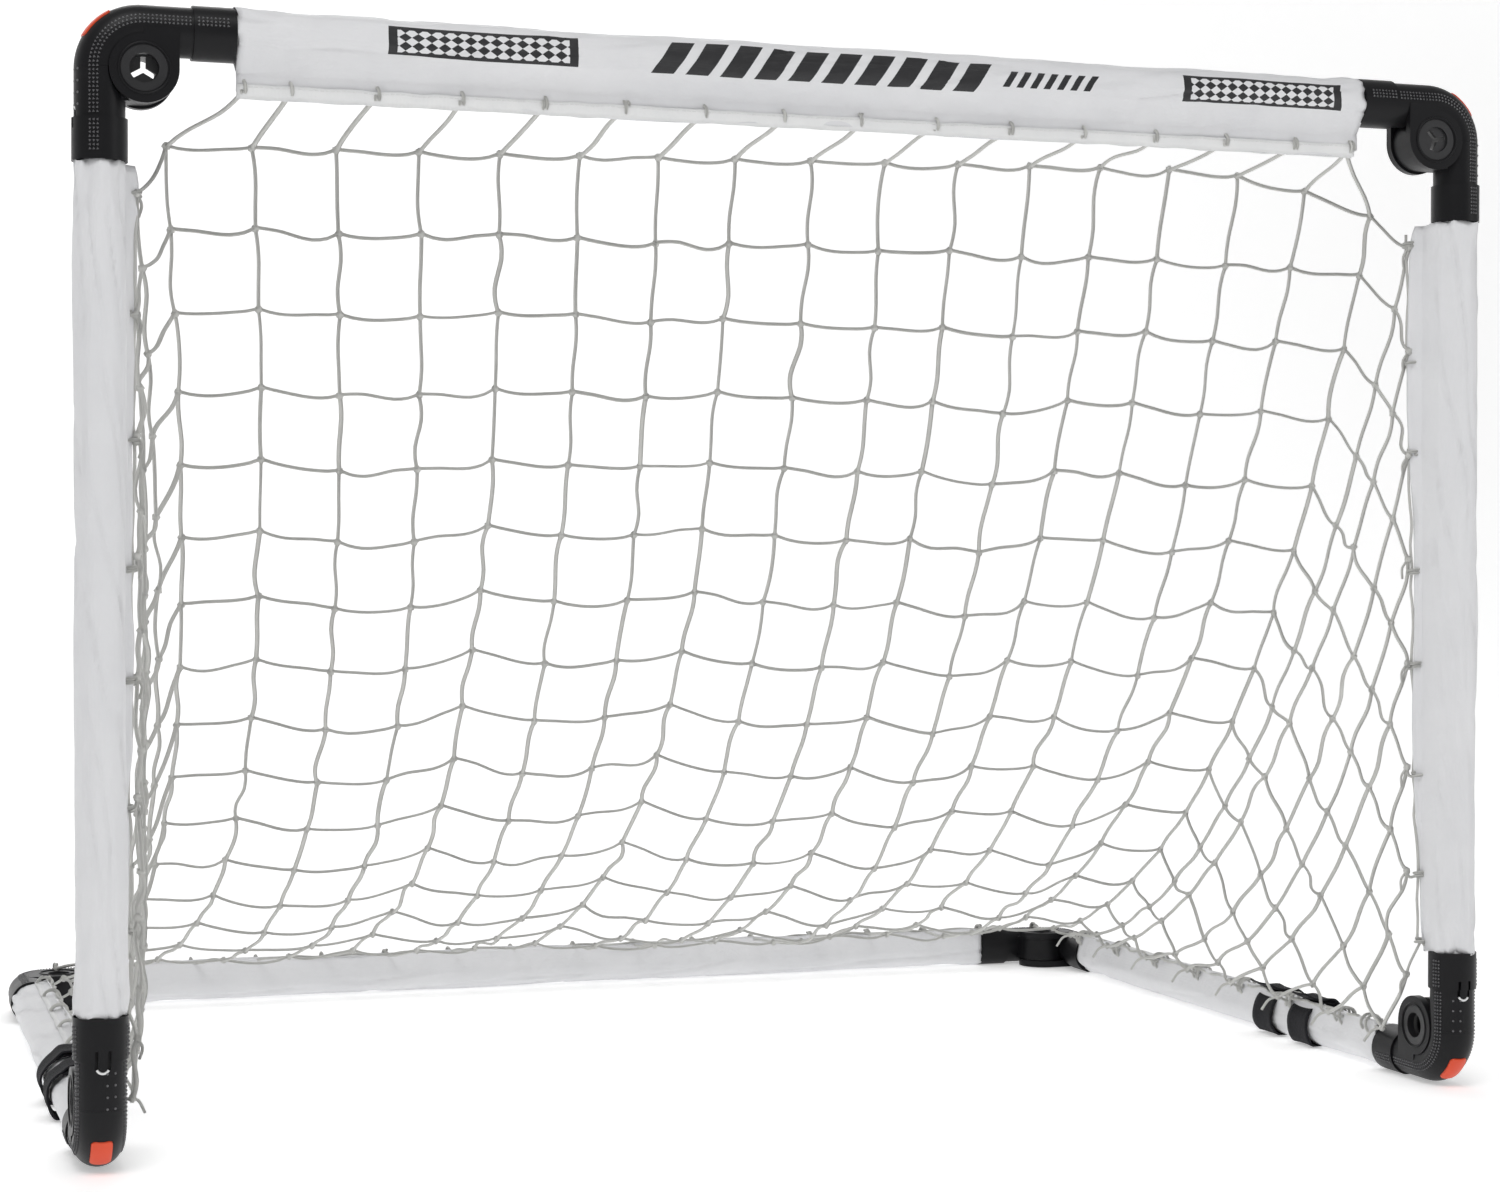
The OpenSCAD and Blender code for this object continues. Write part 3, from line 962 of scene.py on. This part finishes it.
for sign, word in SIDE_WORD.items():
    for seed, end in enumerate(("front", "rear")):
        make_strap(f"{word}_{end}_strap", word, sign, 1.7 * seed + sign)

# ------------------------ hems, stitches and lacing


TAPE_HALF = 0.0004  # half a tape's thickness
TAPE_R = 0.0205  # how far from a tube's axis a tape on its sleeve is sewn
STITCH_R = 0.00028


def ribbon(name, body, rows):
    """A thin tape: rows of points across it, one row after another along it."""
    vertices, across = [], len(rows[0])
    for r, row in enumerate(rows):
        ahead = Vector(rows[min(r + 1, len(rows) - 1)][0]) - Vector(rows[max(r - 1, 0)][0])
        for face in (1, -1):
            line = row[::face]
            for k, p in enumerate(line):
                q = line[min(k + 1, across - 1)] - line[max(k - 1, 0)]
                vertices.append(p + ahead.cross(q).normalized() * TAPE_HALF)
    faces = bands(0, len(rows), 2 * across) + ends(0, len(rows), 2 * across)
    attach(piece(name, vertices, faces, HEM), body)


def stitches(name, body, line, step=0.0042, long=0.003):
    """A row of thread stitches along a line."""
    wires = Wires(sides=5)
    line = np.array([tuple(p) for p in line])
    travelled = np.concatenate([[0], np.cumsum(np.linalg.norm(np.diff(line, axis=0), axis=1))])
    s = step
    while s + long < travelled[-1]:
        points = [[np.interp(s + long * t, travelled, line[:, k]) for k in range(3)] for t in (0, 0.5, 1)]
        wires.add(points, STITCH_R)
        s += step
    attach(wires.build(name, THREAD, "sleeve"), body)


def hem_tape():
    """The tape along the crossbar sleeve's hanging edge, front and back, with its stitch lines."""
    length, steps = SLEEVE_LONG - 0.004, 260
    edge = TOP_Z - FLAP_ROOT - HEM_FLAP
    for face, word in ((-1, "front"), (1, "back")):
        rows, upper = [], []
        for k in range(steps + 1):
            along = length * k / steps - length / 2
            wave = 0.0007 * noise.noise(Vector((along * 40, face, 3.1)))
            low = edge - 0.0012 + 0.0009 * noise.noise(Vector((along * 55, 1.7, face)))
            y = FRONT_Y + face * 0.0022
            row = [Vector((along, y + wave + face * 0.0006 * math.sin(1.5 * q), low + 0.0105 * q))
                   for q in (0.0, 0.33, 0.66, 1.0)]
            rows.append(row if face < 0 else row[::-1])
            upper.append(Vector((along, y + wave + face * 0.0010, low + 0.0086)))
        ribbon(f"crossbar_hem_{word}", "crossbar", rows)
        stitches(f"crossbar_hem_stitch_{word}", "crossbar", upper)


hem_tape()


def edge_tape(name, body, centre, way, across, length, wide, seed):
    """A narrow tape sewn along a sleeve, where the net's lacing goes through it."""
    centre, way, across = Vector(centre), Vector(way), Vector(across).normalized()
    side = way.cross(across)
    steps, rows, middle_line = 200, [], []
    for k in range(steps + 1):
        along = length * (k / steps - 0.5)
        row = []
        for q in (-1, -0.5, 0, 0.5, 1):
            a = q * wide / 2 / TAPE_R + 0.05 * noise.noise(Vector((along * 30, seed, q)))
            lift = TAPE_R + 0.0010 + 0.0006 * noise.noise(Vector((along * 45, seed + q, 0.3)))
            row.append(centre + way * along + (across * math.cos(a) + side * math.sin(a)) * lift)
        rows.append(row)
        middle_line.append(row[2] + across * 0.0006)
    ribbon(name, body, rows)
    stitches(name + "_stitch", body, middle_line, step=0.006, long=0.0035)


LACE_R = 0.0014  # radius of the lacing cord


def loop_round(wires, centre, way, radius, rng, turns=1.0):
    """A loop of lacing cord round something that runs along way."""
    centre, way = Vector(centre), Vector(way).normalized()
    a = way.orthogonal().normalized()
    b = way.cross(a)
    start = rng.uniform(0, 6)
    points = []
    for k in range(int(18 * turns) + 1):
        t = k / 18
        angle = start + math.tau * t
        points.append(tuple(centre + (a * math.cos(angle) + b * math.sin(angle)) * radius
                            + way * (0.003 * (t - 0.5))))
    wires.add(points, LACE_R)


def flap_edge(sign, z):
    """The point on a post flap's edge at height z."""
    low, high = BASE_Z + SOCKET_END + 0.006, TOP_Z - SOCKET_END - 0.006
    z = min(max(z, low), high)
    share = (z - BASE_Z - SOCKET_END) / SLEEVE_SHORT
    reach = (FLAP_ROOT + POST_FLAP[0] + (POST_FLAP[1] - POST_FLAP[0]) * share - 0.0015) / math.sqrt(2)
    return np.array([sign * (POST_X - reach), FRONT_Y + reach, z])


def post_lacing(points, sign, word, rng):
    """Ties from the net's edge to a post's flap, and the cord that runs down the flap."""
    post = Wires()
    for point in points:
        flap = flap_edge(sign, point[2] + rng.uniform(-0.012, 0.006))
        halfway = (point + flap) / 2 + np.array([-sign * 0.002, 0.002, -0.004])
        post.add(smooth_line([point, halfway, flap], 5), LACE_R)
        post.knot(point, LACE_R * 2.1, rng.uniform(0, 6))
        loop_round(post, flap, (0, 0, 1), 0.0045, rng, 1.6)
        tail = [point, point + [-sign * 0.004, 0.003, -0.008], point + [-sign * 0.002, 0.006, -0.017]]
        post.add(smooth_line(tail, 4), LACE_R * 0.9)
    line, count = [], 34
    low, high = BASE_Z + SOCKET_END + 0.008, TOP_Z - SOCKET_END - 0.008
    for k in range(count + 1):
        stray = np.array([-sign, 1, 0]) * (0.0016 + rng.normal(0, 0.0006))
        line.append(flap_edge(sign, low + (high - low) * k / count) + stray)
    post.add(smooth_line(line, 3), LACE_R)
    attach(post.build(f"{word}_post_lacing"), f"{word}_post")


def side_lacing(points, sign, word, rng):
    """Ties from the net's edge to a side tube's tape, and the cord that runs along the tape."""
    side = Wires()
    for point in points:
        side.knot(point, LACE_R * 2.1, rng.uniform(0, 6))
        along = min(max(point[1], FRONT_Y + SOCKET_END + 0.012), REAR_Y - SOCKET_END - 0.012)
        centre = (sign * (POST_X - 0.011), along + rng.uniform(-0.004, 0.004), BASE_Z + 0.0185)
        side.add(smooth_line([point, (point + centre) / 2 - [0, 0, 0.002], centre], 4), LACE_R)
        loop_round(side, centre, (0, 1, 0), 0.0085, rng, 1.3)
        loop_round(side, (centre[0] - sign * 0.001, centre[1] + 0.008, centre[2] + 0.001),
                   (0, 1, 0.2), 0.0075, rng, 1.0)
        tail = [point, point + [-sign * 0.006, 0.008, -0.004], point + [-sign * 0.011, 0.013, -0.014]]
        side.add(smooth_line(tail, 4), LACE_R * 0.9)
    line, count = [], 46
    near, far = FRONT_Y + SOCKET_END + 0.03, REAR_Y - SOCKET_END + 0.012
    for k in range(count + 1):
        y = near + (far - near) * k / count
        line.append((sign * (POST_X - 0.0165 - 0.002 * math.sin(k * 2.2)), y,
                     BASE_Z + 0.0232 + 0.0012 * math.sin(k * 1.9 + 1)))
    side.add(smooth_line(line, 3), LACE_R)
    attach(side.build(f"{word}_side_lacing"), f"{word}_side")


def end_lacing(rng):
    """Ties of the net's top to the hem and of its end to the rear bar, and the cord along the rear bar."""
    rear, hem = Wires(), Wires()
    for a in range(SIDE_CELLS, SIDE_CELLS + CELLS_ACROSS + 1):
        top, end = net_place[a, 0], net_place[a, -1]
        loop_round(hem, (top[0], FRONT_Y + 0.0005, top[2] + 0.0035), (1, 0.15, 0), 0.0052, rng, 1.4)
        hem.knot(top, LACE_R * 1.9, rng.uniform(0, 6))
        loop_round(rear, (end[0], REAR_Y - 0.006, BASE_Z + 0.0175), (1, 0, 0.1), 0.0078, rng, 1.3)
        rear.knot(end, LACE_R * 2.0, rng.uniform(0, 6))
    line, count = [], 60
    reach = POST_X - SOCKET_END + 0.03
    for k in range(count + 1):
        line.append((-reach + 2 * reach * k / count, REAR_Y - 0.0145 + 0.0012 * math.sin(k * 2.1),
                     BASE_Z + 0.0225 + 0.0012 * math.sin(k * 1.7)))
    rear.add(smooth_line(line, 3), LACE_R)
    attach(rear.build("rear_bar_lacing"), "rear_bar")
    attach(hem.build("crossbar_lacing"), "crossbar")


def lacing():
    """Cord that ties the net to the posts, the side tubes, the rear bar and the crossbar's hem."""
    rng = np.random.default_rng(23)
    columns, rows = net_there.shape
    for sign, word in SIDE_WORD.items():
        ties = [(a, j) for a in range(columns) for j in range(rows) if on_leg(a, j) == sign]
        post_lacing([net_place[tie] for tie in ties if tie[1] <= SIDE_CELLS], sign, word, rng)
        side_lacing([net_place[tie] for tie in ties if tie[1] > SIDE_CELLS], sign, word, rng)
    end_lacing(rng)


lacing()


def edge_tapes():
    """The tapes on the sleeves of the tubes on the ground."""
    for sign, word in SIDE_WORD.items():
        across = Vector((-sign * 0.45, 0, 0.9))
        edge_tape(f"{word}_side_tape", f"{word}_side", (sign * POST_X, 0.055, BASE_Z), (0, 1, 0),
                  across, SLEEVE_SHORT - 0.13, 0.016, 2 + sign)
    edge_tape("rear_bar_tape", "rear_bar", (0, REAR_Y, BASE_Z), (1, 0, 0), (0, -0.45, 0.9),
              SLEEVE_LONG - 0.02, 0.014, 9)


edge_tapes()

# ------------------------ stage and light


def build_stage():
    """A pale floor that curves up behind, lit softly."""
    wide, near, far, tall, bend = 14.0, -9.0, 4.2, 6.0, 2.2
    under, steps = 0.0003, 16  # the floor lies a touch under the ground's height
    profile = [(near, 0.0), (far - bend, 0.0)]
    profile += [(far - bend + bend * math.sin(a), bend - bend * math.cos(a))
                for a in (math.pi / 2 * k / steps for k in range(1, steps + 1))]
    profile.append((far, tall))
    vertices = [(x, y, z - under) for y, z in profile for x in (-wide, wide)]
    faces = [(2 * k, 2 * k + 1, 2 * k + 3, 2 * k + 2) for k in range(len(profile) - 1)]
    floor = piece("studio_floor", vertices, faces, FLOOR)


def light(name, place, aim, side, power):
    """A square soft light, side in metres and power in watts."""
    data = bpy.data.lights.new(name, "AREA")
    data.energy = power
    data.shape = "RECTANGLE"
    data.size = data.size_y = side
    obj = bpy.data.objects.new(name, data)
    obj.location = place
    obj.rotation_euler = (Vector(aim) - Vector(place)).to_track_quat("-Z", "Y").to_euler()
    bpy.context.collection.objects.link(obj)


def build_lights():
    """A white surround, a large key from the front left, a weak fill from the right and a back light."""
    world = bpy.data.worlds.new("studio")
    bpy.context.scene.world = world
    world.use_nodes = True
    background = world.node_tree.nodes["Background"]
    background.inputs["Color"].default_value = (1.0, 1.0, 1.0, 1)
    background.inputs["Strength"].default_value = 0.36
    light("key", (-1.2, -2.6, 4.2), (0, 0, 0.4), 2.2, 74)
    light("fill", (3.6, -2.8, 1.6), (0, 0, 0.4), 1.6, 15)
    light("back", (0.5, 3.2, 3.4), (0, 0, 0.5), 2.6, 30)
    bpy.context.scene.view_settings.view_transform = "Standard"


build_stage()
build_lights()
